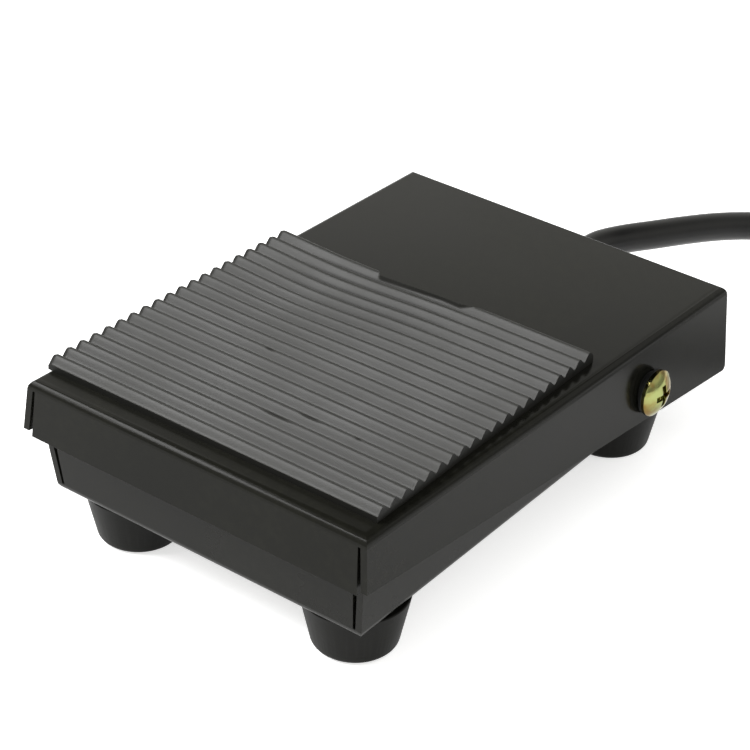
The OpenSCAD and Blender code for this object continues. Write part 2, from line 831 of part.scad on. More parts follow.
// Terminal strip: a leg through the case's bottom and an arm that carries a contact
module terminal_strip(y, arm_z, arm_y0, arm_y1) {
    along_x(-strip_w / 2, strip_w / 2)
        polygon([[y, terminal_z], [y + strip_t, terminal_z], [y + strip_t, arm_z + strip_t],
            [y, arm_z + strip_t]]);
    translate([-strip_w / 2, arm_y0, arm_z])
        cube([strip_w, arm_y1 - arm_y0, strip_t]);
}

module terminal_common() {
    color([0.8, 0.7, 0.4])
        terminal_strip(common_y, roll_z - blade_roll_r - plunger_gap - strip_t,
            common_y - contact_r, common_y + strip_t);
}

module terminal_open() {
    color([0.8, 0.7, 0.4])
        union() {
            terminal_strip(open_y, open_arm_z, contact_y - contact_r, open_y + strip_t);
            translate([0, contact_y, open_arm_z])
                cylinder(r = contact_r, h = strip_t + contact_h);
        }
}

module terminal_closed() {
    color([0.8, 0.7, 0.4])
        union() {
            terminal_strip(closed_y, closed_arm_z, closed_y, contact_y + contact_r);
            translate([0, contact_y, closed_low])
                cylinder(r = contact_r, h = strip_t + contact_h);
        }
}

// Blade with the moving contact, hinged over the common terminal
module contact_blade() {
    color([0.8, 0.55, 0.3])
        union() {
            translate([-strip_w / 2, contact_y - contact_r, blade_z])
                cube([strip_w, roll_y - contact_y + contact_r, blade_t]);
            translate([-strip_w / 2, roll_y, roll_z])
                rotate([0, 90, 0])
                    cylinder(r = blade_roll_r, h = strip_w);
            translate([0, contact_y, blade_z - contact_h])
                cylinder(r = contact_r, h = blade_t + 2 * contact_h);
        }
}

module switch_case() {
    color([0.12, 0.12, 0.12])
        difference() {
            union() {
                difference() {
                    translate([-case_w / 2, case_y0, case_z0])
                        cube([case_w / 2 + lid_x, case_l, case_h]);
                    translate([-lid_x, case_y0 + case_wall, case_z0 + case_wall])
                        cube([2 * lid_x + cut, case_l - 2 * case_wall, case_h - 2 * case_wall]);
                }
                for (y = screw_ys)
                    translate([-case_w / 2, y, screw_z])
                        rotate([0, 90, 0])
                            cylinder(r = boss_r, h = case_w / 2 + lid_x);
                for (side = [0, 1])
                    mirror([side, 0, 0])
                        translate([ear_x, hinge_y - ear_r, case_z1 - case_wall])
                            cube([ear_t, 2 * ear_r, hinge_z + ear_r - case_z1 + case_wall]);
            }
            for (y = screw_ys)
                translate([-case_w, y, screw_z])
                    rotate([0, 90, 0])
                        cylinder(r = case_screw_r + screw_gap, h = 2 * case_w);
            translate([-case_w / 2, hinge_y, hinge_z])
                rotate([0, 90, 0])
                    cylinder(r = pin_r + run_gap, h = case_w);
            translate([0, plunger_y, case_z1 - case_wall - cut])
                cylinder(r = plunger_r + run_gap, h = case_wall + 2 * cut);
            for (y = [common_y, open_y, closed_y])
                translate([-strip_w / 2 - screw_gap, y - screw_gap, case_z0 - cut])
                    cube([strip_w + 2 * screw_gap, strip_t + 2 * screw_gap, case_wall + 2 * cut]);
        }
}

module switch_lid() {
    color([0.12, 0.12, 0.12])
        difference() {
            translate([lid_x, case_y0, case_z0])
                cube([case_wall, case_l, case_h]);
            for (y = screw_ys)
                translate([lid_x - cut, y, screw_z])
                    rotate([0, 90, 0])
                        cylinder(r = case_screw_r + screw_gap, h = case_wall + 2 * cut);
        }
}

module switch_screws() {
    grip = case_w + bracket_t + nut_h_share * case_screw_r + screw_tail;
    color([0.75, 0.75, 0.75])
        for (y = screw_ys)
            translate([case_w / 2, y, screw_z])
                rotate([0, -90, 0])
                    screw(case_screw_r, grip);
}

module switch_nuts() {
    h = nut_h_share * case_screw_r;
    color([0.75, 0.75, 0.75])
        for (y = screw_ys)
            translate([bracket_x - h, y, screw_z])
                rotate([0, 90, 0])
                    hex_nut(case_screw_r, h);
}

// Lever strip, folded round the pin that turns in the case's ears
module switch_lever() {
    pin_l = 2 * (ear_x + ear_t);
    color([0.78, 0.78, 0.8])
        translate([0, hinge_y, hinge_z])
            rotate([-lever_a, 0, 0]) {
                translate([-lever_w / 2, -lever_l, -lever_t / 2])
                    cube([lever_w, lever_l, lever_t]);
                translate([-pin_l / 2, 0, 0])
                    rotate([0, 90, 0])
                        cylinder(r = pin_r, h = pin_l);
            }
}

module switch_plunger() {
    stem_z = blade_z + blade_t + plunger_drop + plunger_gap;
    color([0.85, 0.3, 0.15])
        translate([0, plunger_y, stem_z])
            cylinder(r = plunger_r, h = plunger_top - stem_z);
}

function ease(s) = s * s * (3 - 2 * s);
function core_at(i) = core_ring_r * [cos(core_turns[i]), sin(core_turns[i])];

// Core inside the base: from the cord's end aside and down past the case's end, then in to its
// terminal. The core that starts on top comes down after the others.
module core_wire(i, strip_y, tint) {
    p = [cord_x + core_at(i)[0], inner_end_y - screw_gap, cord_z + core_at(i)[1]];
    q = [core_aside[i], case_y1 + clear, wire_z];
    r = [0, strip_y + strip_t + core_d, wire_z];
    turn_y = core_aside[i] > 0 ? r[1] + core_aside[i] + core_d : q[1];
    first_y = p[1] - core_start_l;
    first = [for (k = [0:core_steps]) let (s = k / core_steps,
        fall = min(1, max(0, (s - core_wait_share[i]) / core_fall_share)))
        [p[0] + (q[0] - p[0]) * ease(s), first_y + (q[1] - first_y) * s,
            p[2] + (q[2] - p[2]) * ease(fall)]];
    second = core_aside[i] > 0
        ? [for (k = [0:core_steps]) let (s = k / core_steps)
            [q[0] * (1 - ease(s)), turn_y + (r[1] - turn_y) * s, wire_z]]
        : [];
    color(tint)
        tube(concat([p], first, second, [[0, strip_y + strip_t + screw_gap, wire_z]]), core_d / 2,
            core_sides);
}

module wire_common() {
    core_wire(0, common_y, [0.15, 0.15, 0.15]);
}

module wire_open() {
    core_wire(1, open_y, [0.85, 0.85, 0.85]);
}

module wire_closed() {
    core_wire(2, closed_y, [0.75, 0.12, 0.1]);
}

// Moulded strain relief: an inner and an outer flange, a neck in the wall and a grooved tail
module strain_relief() {
    inner_y = rear_y - base_t - relief_inner_t - clear / 2;
    tail_y = rear_y + relief_flange_t + clear / 2;
    tail_l = cord_route[0][1] - tail_y;
    pitch = tail_l / (relief_grooves + 1);
    color([0.08, 0.08, 0.08])
        translate([cord_x, 0, cord_z])
            rotate([-90, 0, 0])
                difference() {
                    union() {
                        translate([0, 0, inner_y])
                            cylinder(r = relief_flange_r, h = relief_inner_t);
                        translate([0, 0, inner_y])
                            cylinder(r = relief_neck_r, h = tail_y - inner_y);
                        translate([0, 0, tail_y - relief_flange_t])
                            cylinder(r = relief_flange_r, h = relief_flange_t);
                        translate([0, 0, tail_y - relief_flange_t])
                            cylinder(r1 = relief_tail_r + relief_flange_t / tail_l, r2 = relief_tip_r,
                                h = tail_l + relief_flange_t);
                    }
                    for (i = [1:relief_grooves])
                        translate([0, 0, tail_y + (i - 1 / 2) * pitch])
                            difference() {
                                cylinder(r = relief_flange_r, h = groove_w);
                                translate([0, 0, -cut])
                                    cylinder(r = relief_tip_r + groove_depth / relief_grooves
                                        * (relief_grooves - i), h = groove_w + 2 * cut);
                            }
                    translate([0, 0, inner_y - cut])
                        cylinder(r = relief_bore_r, h = cord_route[0][1] - inner_y + 2 * cut);
                }
}

module cord_inner() {
    color([0.06, 0.06, 0.06])
        translate([cord_x, inner_end_y, cord_z])
            rotate([-90, 0, 0])
                cylinder(r = cord_r, h = cord_route[0][1] - inner_end_y);
}

// Clip that holds the cord down: a band round it, a leg and a screwed foot
module cord_clip() {
    out_r = clip_r + clip_t;
    foot_x = cord_x + clip_foot_l + out_r;
    color([0.75, 0.75, 0.75])
        difference() {
            union() {
                translate([cord_x, clip_y - clip_w / 2, cord_z])
                    rotate([-90, 0, 0])
                        cylinder(r = out_r, h = clip_w);
                translate([cord_x + clip_r, clip_y - clip_w / 2, floor_top])
                    cube([clip_t, clip_w, cord_z - floor_top]);
                translate([cord_x + clip_r, clip_y - clip_w / 2, floor_top])
                    cube([foot_x - cord_x - clip_r, clip_w, clip_t]);
            }
            translate([cord_x, clip_y - clip_w / 2 - cut, cord_z])
                rotate([-90, 0, 0])
                    cylinder(r = clip_r, h = clip_w + 2 * cut);
            translate([clip_screw_x, clip_y, floor_top - cut])
                cylinder(r = small_screw_r + screw_gap, h = clip_t + 2 * cut);
        }
}

module clip_screw() {
    color([0.75, 0.75, 0.75])
        translate([clip_screw_x, clip_y, foot_h])
            screw(small_screw_r, base_t + clip_t + nut_h_share * small_screw_r + screw_tail);
}

module clip_nut() {
    color([0.75, 0.75, 0.75])
        translate([clip_screw_x, clip_y, floor_top + clip_t])
            hex_nut(small_screw_r, nut_h_share * small_screw_r);
}

module cord() {
    color([0.06, 0.06, 0.06])
        tube(cord_route, cord_r, cord_sides);
}

// Rest of the cord in a round coil: outwards to inwards on the floor, then back out on top
coil_points = concat(
    [cord_route[15]],
    [for (i = [0:2 * coil_turns * coil_rings])
        let (t = i / coil_rings, a = 360 * t, r = coil_r_in + coil_step * abs(t - coil_turns),
            climb = min(1, max(0, 2 * (t - coil_turns) + 1 / 2)))
        [coil_x + r * sin(a), coil_y + r * cos(a), coil_z + coil_step * ease(climb)]],
    [lead_end]
);

module cord_coil() {
    echo(coil_gap = wound_gap(coil_points, cord_d, coil_rings));
    echo(cord_length = path_l(cord_route) + path_l(coil_points) + cord_route[0][1] - inner_end_y);
    color([0.06, 0.06, 0.06])
        tube(coil_points, cord_r, coil_sides);
}

function path_l(p) = len(p) < 2 ? 0 : [for (i = [1:len(p) - 1]) norm(p[i] - p[i - 1])]
    * [for (i = [1:len(p) - 1]) 1];

// Core that leaves the end of the cord and lies on the turn below it
function lead_points(i) = concat(
    [lead_end + [screw_gap, core_at(i)[0], core_at(i)[1]]],
    [for (k = [1:lead_rings]) let (s = k / lead_rings, a = lead_start + lead_turn * s,
        r = lead_far_r + core_at(i)[0])
        [coil_x + r * sin(a), coil_y + r * cos(a),
            lead_end[2] - lead_drop * ease(min(1, s / lead_rise_share)) + core_at(i)[1]]]);

module lead(i, tint) {
    color(tint)
        tube(lead_points(i), core_d / 2, core_sides);
}

module lead_common() {
    lead(0, [0.15, 0.15, 0.15]);
}

module lead_open() {
    lead(1, [0.85, 0.85, 0.85]);
}

module lead_closed() {
    lead(2, [0.75, 0.12, 0.1]);
}

// Bare tinned ends of the three leads
module lead_tips() {
    color([0.8, 0.8, 0.82])
        for (i = [0:2])
            let (p = lead_points(i), e = p[len(p) - 1], d = unit(e - p[len(p) - 2]))
                tube([e + screw_gap * d, e + tip_l * d], tip_r, core_sides);
}

base_tray();
foot_front_left();
foot_front_right();
foot_rear_left();
foot_rear_right();
foot_screws();
foot_nuts();
pedal_cover();
tread_mat();
pivot_screw_left();
pivot_screw_right();
pivot_bush_left();
pivot_bush_right();
pivot_nuts();
return_spring();
spring_post();
spring_cup();
switch_bracket();
bracket_screws();
bracket_nuts();
insulator();
switch_case();
switch_lid();
switch_screws();
switch_nuts();
switch_plunger();
switch_lever();
contact_blade();
terminal_common();
terminal_open();
terminal_closed();
wire_common();
wire_open();
wire_closed();
strain_relief();
cord_inner();
cord_clip();
clip_screw();
clip_nut();
cord();
cord_coil();
lead_common();
lead_open();
lead_closed();
lead_tips();
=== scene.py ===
"""Look of the foot switch: folded black sheet-steel pedal and tray, ribbed rubber tread, rubber feet,
plated fixings, the small switch inside and the black cord. Metres, in the row frame: X to the
right, Y to the rear, Z up from the floor."""
import json
from math import atan2, cos, pi, radians, sin

import bmesh
import bpy
import numpy as np
from mathutils import Matrix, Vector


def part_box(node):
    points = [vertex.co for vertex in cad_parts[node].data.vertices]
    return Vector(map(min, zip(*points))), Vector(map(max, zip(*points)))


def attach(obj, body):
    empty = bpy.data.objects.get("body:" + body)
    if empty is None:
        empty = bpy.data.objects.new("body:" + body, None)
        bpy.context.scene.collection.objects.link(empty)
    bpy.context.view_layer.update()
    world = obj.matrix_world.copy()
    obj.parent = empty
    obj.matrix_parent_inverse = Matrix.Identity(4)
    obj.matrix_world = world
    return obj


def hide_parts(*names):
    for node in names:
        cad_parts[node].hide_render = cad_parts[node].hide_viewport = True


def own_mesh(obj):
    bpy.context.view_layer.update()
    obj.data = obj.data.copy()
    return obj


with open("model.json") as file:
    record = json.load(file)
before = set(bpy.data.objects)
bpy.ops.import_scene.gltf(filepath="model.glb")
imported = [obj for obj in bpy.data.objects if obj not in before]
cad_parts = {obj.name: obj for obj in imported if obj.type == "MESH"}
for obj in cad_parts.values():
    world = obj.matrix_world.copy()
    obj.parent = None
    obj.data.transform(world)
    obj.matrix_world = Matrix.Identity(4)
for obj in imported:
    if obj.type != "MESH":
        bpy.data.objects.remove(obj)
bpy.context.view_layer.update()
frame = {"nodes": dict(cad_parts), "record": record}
MM = 0.001
SCENE = bpy.context.scene
SCENE.view_settings.view_transform = "Standard"
# The pedal turns about this point, and rests nose up by this angle
PIVOT = (0.0, 0.0261855, 0.020)
TILT = radians(-2)


# Camera

# Fitted to the corners, bends and outlines of the photograph. Turn is from straight in front
# towards the right, rise is above level and roll is about the line of sight, all in degrees
CAMERA_TURN, CAMERA_RISE, CAMERA_ROLL = 37.2763, 32.6399, 1.0335
CAMERA_PLACE = (0.21602, PIVOT[1] - 0.314195, 0.25201)
FOCAL_PX, PICTURE_PX, SENSOR_MM = 2489.42, 750, 36
cam = bpy.data.objects.new("camera", bpy.data.cameras.new("camera"))
SCENE.collection.objects.link(cam)
cam.data.sensor_width = SENSOR_MM
cam.data.lens = FOCAL_PX * SENSOR_MM / PICTURE_PX
cam.data.clip_start = 0.01
cam.matrix_world = (Matrix.Translation(CAMERA_PLACE)
                    @ Matrix.Rotation(radians(CAMERA_TURN), 4, "Z")
                    @ Matrix.Rotation(radians(90 - CAMERA_RISE), 4, "X")
                    @ Matrix.Rotation(radians(CAMERA_ROLL), 4, "Z"))
SCENE.camera = cam


# Mesh helpers

# Angles in degrees, above which an edge shows as an edge
TUBE_SHARP, TREAD_SHARP, SHEET_SHARP = 50, 40, 32


def mesh_object(name, verts, faces, body, sharp):
    """A piece from an array of points and a list of faces, riding on a CAD body."""
    mesh = bpy.data.meshes.new(name)
    mesh.from_pydata(verts.tolist(), [], faces)
    mesh.update()
    mesh.shade_smooth()
    mesh.set_sharp_from_angle(angle=radians(sharp))
    piece = bpy.data.objects.new(name, mesh)
    SCENE.collection.objects.link(piece)
    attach(piece, body)
    return piece


def face_list(*corners):
    """Faces from equal arrays of point numbers, one array for each corner."""
    return np.stack(corners, -1).reshape(-1, len(corners)).tolist()


def ease(s):
    """Smooth step from 0 to 1: s^2 (3 - 2 s)."""
    return s * s * (3 - 2 * s)


def spline(points, steps):
    """Catmull-Rom curve. From b to c, with a before and d after, it is half the sum of 2 b,
    (c - a) t, (2 a - 5 b + 4 c - d) t^2 and (3 b - a - 3 c + d) t^3, in some steps of t."""
    p = np.array(points, float)
    q = np.vstack([2 * p[0] - p[1], p, 2 * p[-1] - p[-2]])
    a, b, c, d = (q[i:i + len(p) - 1, None] for i in range(4))
    t = (np.arange(steps) / steps)[:, None]
    curve = 0.5 * (2 * b + (c - a) * t + (2 * a - 5 * b + 4 * c - d) * t * t
                   + (3 * b - a - 3 * c + d) * t ** 3)
    return np.vstack([curve.reshape(-1, 3), p[-1]])


def tube(name, path, radius, body, sides):
    """Round tube on a path: round each point lies the ring radius (cos(a) s + sin(a) u). The side
    vector s is carried along and turned square to the path, so that the rings don't twist, and u
    is square to both. Both ends are flat."""
    path = np.array(path, float)
    tangent = np.gradient(path, axis=0)
    tangent /= np.linalg.norm(tangent, axis=1)[:, None]
    side = np.cross(tangent[0], (0, 0, 1.0))
    carried = []
    for t in tangent:
        side = side - t * (side @ t)
        side /= np.linalg.norm(side)
        carried.append(side)
    s = np.array(carried)
    u = np.cross(tangent, s)
    a = np.linspace(0, 2 * pi, sides, endpoint=False)[None, :, None]
    rings = path[:, None] + radius * (np.cos(a) * s[:, None] + np.sin(a) * u[:, None])
    grid = np.arange(len(path) * sides).reshape(len(path), sides)
    turned = np.roll(grid, -1, axis=1)
    first_middle = np.full(sides, grid.size)
    last_middle = first_middle + 1
    faces = (face_list(grid[:-1], turned[:-1], turned[1:], grid[1:])
             + face_list(first_middle, turned[0], grid[0])
             + face_list(last_middle, grid[-1], turned[-1]))
    verts = np.vstack([rings.reshape(-1, 3), path[0], path[-1]])
    return mesh_object(name, verts, faces, body, TUBE_SHARP)


def body_name(node):
    """The CAD body that holds a node."""
    for name, nodes in frame["record"]["behaviour"]["bodies"].items():
        if node in nodes:
            return name


def detailed(node, width):
    """A copy of a CAD node as a clean mesh: flat areas joined into one face each, its edges
    rounded by a narrow bevel, and shaded smooth over the bends. It stands for the node."""
    mesh = frame["nodes"][node].data.copy()
    mesh.materials.clear()
    work = bmesh.new()
    work.from_mesh(mesh)
    bmesh.ops.remove_doubles(work, verts=work.verts, dist=0.002 * MM)
    bmesh.ops.dissolve_limit(work, angle_limit=radians(0.6), verts=work.verts, edges=work.edges)
    work.to_mesh(mesh)
    work.free()
    piece = bpy.data.objects.new(node + "_look", mesh)
    SCENE.collection.objects.link(piece)
    bevel = piece.modifiers.new("edges", "BEVEL")
    bevel.width = width
    bevel.segments = 2
    bevel.limit_method = "ANGLE"
    bevel.angle_limit = radians(SHEET_SHARP)
    bevel.use_clamp_overlap = True
    bevel.miter_outer = "MITER_ARC"
    mesh.shade_smooth()
    mesh.set_sharp_from_angle(angle=radians(SHEET_SHARP))
    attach(piece, body_name(node))
    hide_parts(node)
    return piece


# Cord, first of all pieces

# The route of part.scad, in metres
ROUTE = np.array([
    (-1.5, 63, 17), (-1.5, 66.5, 17), (-0.7, 70, 16.7), (1, 74.5, 16.2), (3.3, 80, 15.4),
    (6, 87, 14.3), (9, 94.5, 12.9), (12.3, 101.6, 11.2), (16, 107.8, 9.4), (21, 114, 7.5),
    (27.2, 120, 5.7), (34.4, 125.5, 4.3), (42.5, 129.7, 3.4), (51, 132.7, 2.9),
    (58, 133.6, 2.8), (64.5, 133.6, 2.8)]) * MM
CORD_D = 5.6 * MM
COIL_X, COIL_R, TURNS, STEP = 70 * MM, 20.5 * MM, 2.5, 6.05 * MM
COIL_Y = ROUTE[-1][1] - COIL_R - TURNS * STEP
COIL_POINTS = 24


def coil_path():
    """Two flat layers of a spiral: in over the first turns, a climb of one pitch in the half turn
    where it turns back, and out again on top."""
    points = []
    for i in range(int(2 * TURNS * COIL_POINTS) + 1):
        turn = i / COIL_POINTS
        r = COIL_R + STEP * abs(turn - TURNS)
        climb = ease(min(1, max(0, 2 * (turn - TURNS) + 0.5)))
        points.append((COIL_X + r * sin(2 * pi * turn), COIL_Y + r * cos(2 * pi * turn),
                       ROUTE[-1][2] + STEP * climb))
    return points


CORD_END = np.array((COIL_X + CORD_D, ROUTE[-1][1], ROUTE[-1][2] + STEP))
cord_path = np.vstack([spline(ROUTE, 4)[:-1], spline([ROUTE[-1]] + coil_path() + [CORD_END], 2)])
# The curve swings a hair past the coil's rear edge, where the solids' box ends
cord_path[:, 1] = np.minimum(cord_path[:, 1], ROUTE[-1][1])
cord = tube("cord_sheath", cord_path, CORD_D / 2, "base", sides=24)
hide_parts("cord", "cord_coil")
# The coil is only stored there. In use the cord leads away, so the paint doesn't mirror it
cord.visible_glossy = False

# Three cores leave the end side by side and lie down on the turn of cord below it
CORE_D, RING = 1.6 * MM, 1.6 * 0.66 * MM
CORE_AT = [(RING * cos(radians(a)), RING * sin(radians(a))) for a in (210, 90, 330)]
CORES = ("common", "open", "closed")
CORE_HIDDEN, CORE_SHOWN = -1.0 * MM, 0.05 * MM
LEAD_TURN = radians(42)
LEAD_START = atan2(CORD_D, COIL_R + TURNS * STEP)
LEAD_FAR = float(np.hypot(CORD_D, COIL_R + TURNS * STEP))
LEAD_DROP = STEP - CORD_D / 2 - RING / 2 - CORE_D / 2 - 0.05 * MM
LEAD_POINTS = 14
# Each bare end has fine strands in a loose twist, one of them in the middle
TIP_L, STRANDS, STRAND_D, TWIST = 5 * MM, 7, 0.33 * MM, 2.4


def lead_path(side, rise):
    """A core's way: straight out of the cord's end, then on a round arc over the coil, sinking by
    the drop in the first half of it."""
    points = [CORD_END + np.array((x, side, rise)) for x in (CORE_HIDDEN, CORE_SHOWN)]
    for s in np.linspace(0, 1, LEAD_POINTS + 1)[1:]:
        a = LEAD_START + LEAD_TURN * s
        r = LEAD_FAR + side
        drop = LEAD_DROP * ease(min(1, 2 * s))
        points.append(np.array((COIL_X + r * sin(a), COIL_Y + r * cos(a), CORD_END[2] - drop + rise)))
    return points


def strand_path(start, along, number):
    """A strand's way: along the core, round it by the twist, and at no distance from its middle
    for the first strand or one strand's width from it for the others."""
    across = np.cross(along, (0, 0, 1.0))
    x = np.linspace(-0.1, 0.98, 12)[:, None]
    a = number * 2 * pi / (STRANDS - 1) + TWIST * x
    r = STRAND_D if number else 0
    return start + x * TIP_L * along + r * (np.cos(a) * across + np.sin(a) * np.array((0, 0, 1.0)))


leads = []
tips = []
for core, (side, rise) in zip(CORES, CORE_AT):
    points = lead_path(side, rise)
    lead = tube("lead_" + core + "_sheath", spline(points, 4), CORE_D / 2, "base", sides=14)
    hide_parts("lead_" + core)
    leads.append(lead)
    along = (points[-1] - points[-2]) / np.linalg.norm(points[-1] - points[-2])
    for number in range(STRANDS):
        path = strand_path(points[-1], along, number)
        tip = tube("tip_%s_%d" % (core, number), path, STRAND_D / 2, "base", sides=8)
        if not tips:
            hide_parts("lead_tips")
        tips.append(tip)


# Materials

def srgb(code):
    """Scene-linear colour of an sRGB hex code."""
    c = [int(code[i:i + 2], 16) / 255 for i in (0, 2, 4)]
    return tuple(x / 12.92 if x <= 0.04045 else ((x + 0.055) / 1.055) ** 2.4 for x in c) + (1,)


def feed(tree, node, inputs):
    """Sets a node's inputs. A socket is linked, a hex code is a colour, the rest are plain values."""
    for key, value in inputs.items():
        if isinstance(value, bpy.types.NodeSocket):
            tree.links.new(value, node.inputs[key])
        else:
            node.inputs[key].default_value = srgb(value) if isinstance(value, str) else value


def add(tree, kind, inputs, out=0, **settings):
    """One node with its settings and links. Gives one of its outputs."""
    node = tree.nodes.new("ShaderNode" + kind)
    for key, value in settings.items():
        setattr(node, key, value)
    feed(tree, node, inputs)
    return node.outputs[out]


def material(name):
    """A new material, its node tree, its shader and the piece's own coordinates."""
    mat = bpy.data.materials.new(name)
    mat.use_nodes = True
    tree = mat.node_tree
    return mat, tree, tree.nodes["Principled BSDF"], add(tree, "TexCoord", {}, "Object")


# All patterns are noise, sized by one blotch or grain in millimetres. It hardly leaves this span,
# which the ramps spread out smoothly
GRAIN_ROUGHNESS = 0.55
SPAN = {"From Min": 0.3, "From Max": 0.7}
RAMP = {"interpolation_type": "SMOOTHSTEP"}


def paint(name, dark, light, rough, gloss):
    """Black stove enamel on steel, sprayed and baked. Soft clouds lift its tone and its roughness a
    little, specks of dust break up the tone, and a faint orange peel ripples what it mirrors."""
    mat, tree, shader, place = material(name)
    cloud = add(tree, "TexNoise", {"Vector": place, "Scale": 1 / (35.7 * MM), "Detail": 4,
                                   "Roughness": GRAIN_ROUGHNESS})
    dust = add(tree, "TexNoise", {"Vector": place, "Scale": 1 / (1.43 * MM), "Detail": 2,
                                  "Roughness": GRAIN_ROUGHNESS})
    peel = add(tree, "TexNoise", {"Vector": place, "Scale": 1 / (1.92 * MM), "Detail": 2,
                                  "Roughness": GRAIN_ROUGHNESS})
    clouds = add(tree, "MapRange", {"Value": cloud, **SPAN}, **RAMP)
    specks = add(tree, "MapRange", {"Value": dust, "From Min": 0.4, "From Max": 0.75, "To Min": 0.4},
                 **RAMP)
    dusty = add(tree, "Math", {0: clouds, 1: specks}, operation="MULTIPLY")
    dull = add(tree, "MapRange", {"Value": cloud, **SPAN,
                                  "To Min": rough - 0.04, "To Max": rough + 0.06}, **RAMP)
    feed(tree, shader, {
        "Base Color": add(tree, "Mix", {"Factor": dusty, 6: dark, 7: light}, 2, data_type="RGBA"),
        "Roughness": dull, "Specular IOR Level": gloss,
        "Normal": add(tree, "Bump", {"Height": peel, "Strength": 0.2, "Distance": 0.03 * MM})})
    return mat


def rubber(name, dark, light, rough, grain, depth, gloss, border=None):
    """Moulded rubber or soft vinyl: a cloudy tone and a fine grain that breaks up the light. The
    grain is drawn some ten times as coarse as the real one, so that it shows. Where the mesh's
    border attribute is 1, the rubber is darker and duller: on the tread, that is painted shade on its
    walls, along its left border and low in some valleys, and its darker tears."""
    mat, tree, shader, place = material(name)
    cloud = add(tree, "TexNoise", {"Vector": place, "Scale": 1 / (16.7 * MM), "Detail": 4,
                                   "Roughness": GRAIN_ROUGHNESS})
    fine = add(tree, "TexNoise", {"Vector": place, "Scale": 1 / (grain * MM), "Detail": 3,
                                  "Roughness": GRAIN_ROUGHNESS})
    clouds = add(tree, "MapRange", {"Value": cloud, "From Min": 0.3, "From Max": 0.72}, **RAMP)
    tone = add(tree, "Mix", {"Factor": clouds, 6: dark, 7: light}, 2, data_type="RGBA")
    dull = add(tree, "MapRange", {"Value": cloud, **SPAN,
                                  "To Min": rough - 0.03, "To Max": rough + 0.04}, **RAMP)
    feed(tree, shader, {
        "Roughness": dull, "Specular IOR Level": gloss,
        "Normal": add(tree, "Bump", {"Height": fine, "Strength": 0.35, "Distance": depth * MM})})
    if border:
        # Darker and duller where the border attribute says so; on the tread that is painted shade and
        # its tears
        edge = add(tree, "Attribute", {}, "Fac", attribute_name="border")
        tone = add(tree, "Mix", {"Factor": edge, 6: tone, 7: border}, 2, data_type="RGBA")
        feed(tree, shader, {"Specular IOR Level": add(
            tree, "MapRange", {"Value": edge, "To Min": gloss, "To Max": 0.1}, **RAMP)})
    feed(tree, shader, {"Base Color": tone})
    return mat


def metal(name, base, shade, rough, rolled=None):
    """Plated or bare metal: a cloudy tone and fine tumbled grain, drawn out where it was rolled. The
    grain is drawn coarser than the real one, so that it shows."""
    mat, tree, shader, place = material(name)
    cloud = add(tree, "TexNoise", {"Vector": place, "Scale": 1 / (3.85 * MM), "Detail": 4,
                                   "Roughness": GRAIN_ROUGHNESS})
    if rolled:
        place = add(tree, "Mapping", {"Vector": place, "Scale": rolled})
    fine = add(tree, "TexNoise", {"Vector": place, "Scale": 1 / (1.11 * MM), "Detail": 3,
                                  "Roughness": GRAIN_ROUGHNESS})
    clouds = add(tree, "MapRange", {"Value": cloud, **SPAN}, **RAMP)
    dull = add(tree, "MapRange", {"Value": fine, "From Min": 0.25, "From Max": 0.75,
                                  "To Min": rough - 0.06, "To Max": rough + 0.1}, **RAMP)
    feed(tree, shader, {
        "Base Color": add(tree, "Mix", {"Factor": clouds, 6: base, 7: shade}, 2, data_type="RGBA"),
        "Metallic": 1.0, "Roughness": dull,
        "Normal": add(tree, "Bump", {"Height": fine, "Strength": 0.12, "Distance": 0.03 * MM})})
    return mat


def plastic(name, dark, light, rough, grain=1.11, depth=0.02):
    """Moulded plastic or pressed fibre: a faint tone and a grain that is drawn coarser than the
    real one, so that it shows."""
    mat, tree, shader, place = material(name)
    cloud = add(tree, "TexNoise", {"Vector": place, "Scale": 1 / (8.33 * MM), "Detail": 3,
                                   "Roughness": GRAIN_ROUGHNESS})
    fine = add(tree, "TexNoise", {"Vector": place, "Scale": 1 / (grain * MM), "Detail": 2,
                                  "Roughness": GRAIN_ROUGHNESS})
    dull = add(tree, "MapRange", {"Value": cloud, **SPAN,
                                  "To Min": rough - 0.05, "To Max": rough + 0.06}, **RAMP)
    feed(tree, shader, {
        "Base Color": add(tree, "Mix", {"Factor": cloud, 6: dark, 7: light}, 2, data_type="RGBA"),
        "Roughness": dull,
        "Normal": add(tree, "Bump", {"Height": fine, "Strength": 0.2, "Distance": depth * MM})})
    return mat


# Stove enamel, semi-gloss: nearly black, and it mirrors the room softly. The tray's is a bit duller
PEDAL_PAINT = paint("stove_paint_pedal", "141411", "1b1b16", 0.2, 0.09)
BASE_PAINT = paint("stove_paint_base", "141411", "1b1b17", 0.24, 0.08)
# Worn tread rubber, dark grey with a slight sheen on the ribs, and the deep black of the feet.
# The tread's darker border tone is painted shade on its walls, left border and some valleys, and also
# marks its tears
MAT_RUBBER = rubber("tread_rubber", "2d2d2b", "353533", 0.4, 0.667, 0.02, 0.205, border="1c1c1a")
FOOT_RUBBER = rubber("foot_rubber", "0b0b09", "12120f", 0.5, 0.769, 0.04, 0.1)
# Extruded soft vinyl of the cord, with a long highlight
CORD_RUBBER = rubber("cord_sheath_pvc", "101010", "191918", 0.34, 0.833, 0.02, 0.27)
# Plating and bare metals. The yellow zinc is chromated, greenish gold with brown clouds
ZINC = metal("bright_zinc", "c9cacb", "b2b4b6", 0.28)
YELLOW_ZINC = metal("yellow_zinc", "939a62", "7d5a2a", 0.12)
SPRING_STEEL = metal("spring_steel", "b9babd", "96989b", 0.26)
BRASS = metal("rolled_brass", "c9a55e", "ab8442", 0.3, rolled=(1, 0.2, 1))
TINNED = metal("tinned_copper", "cfccc6", "b3afa8", 0.32)
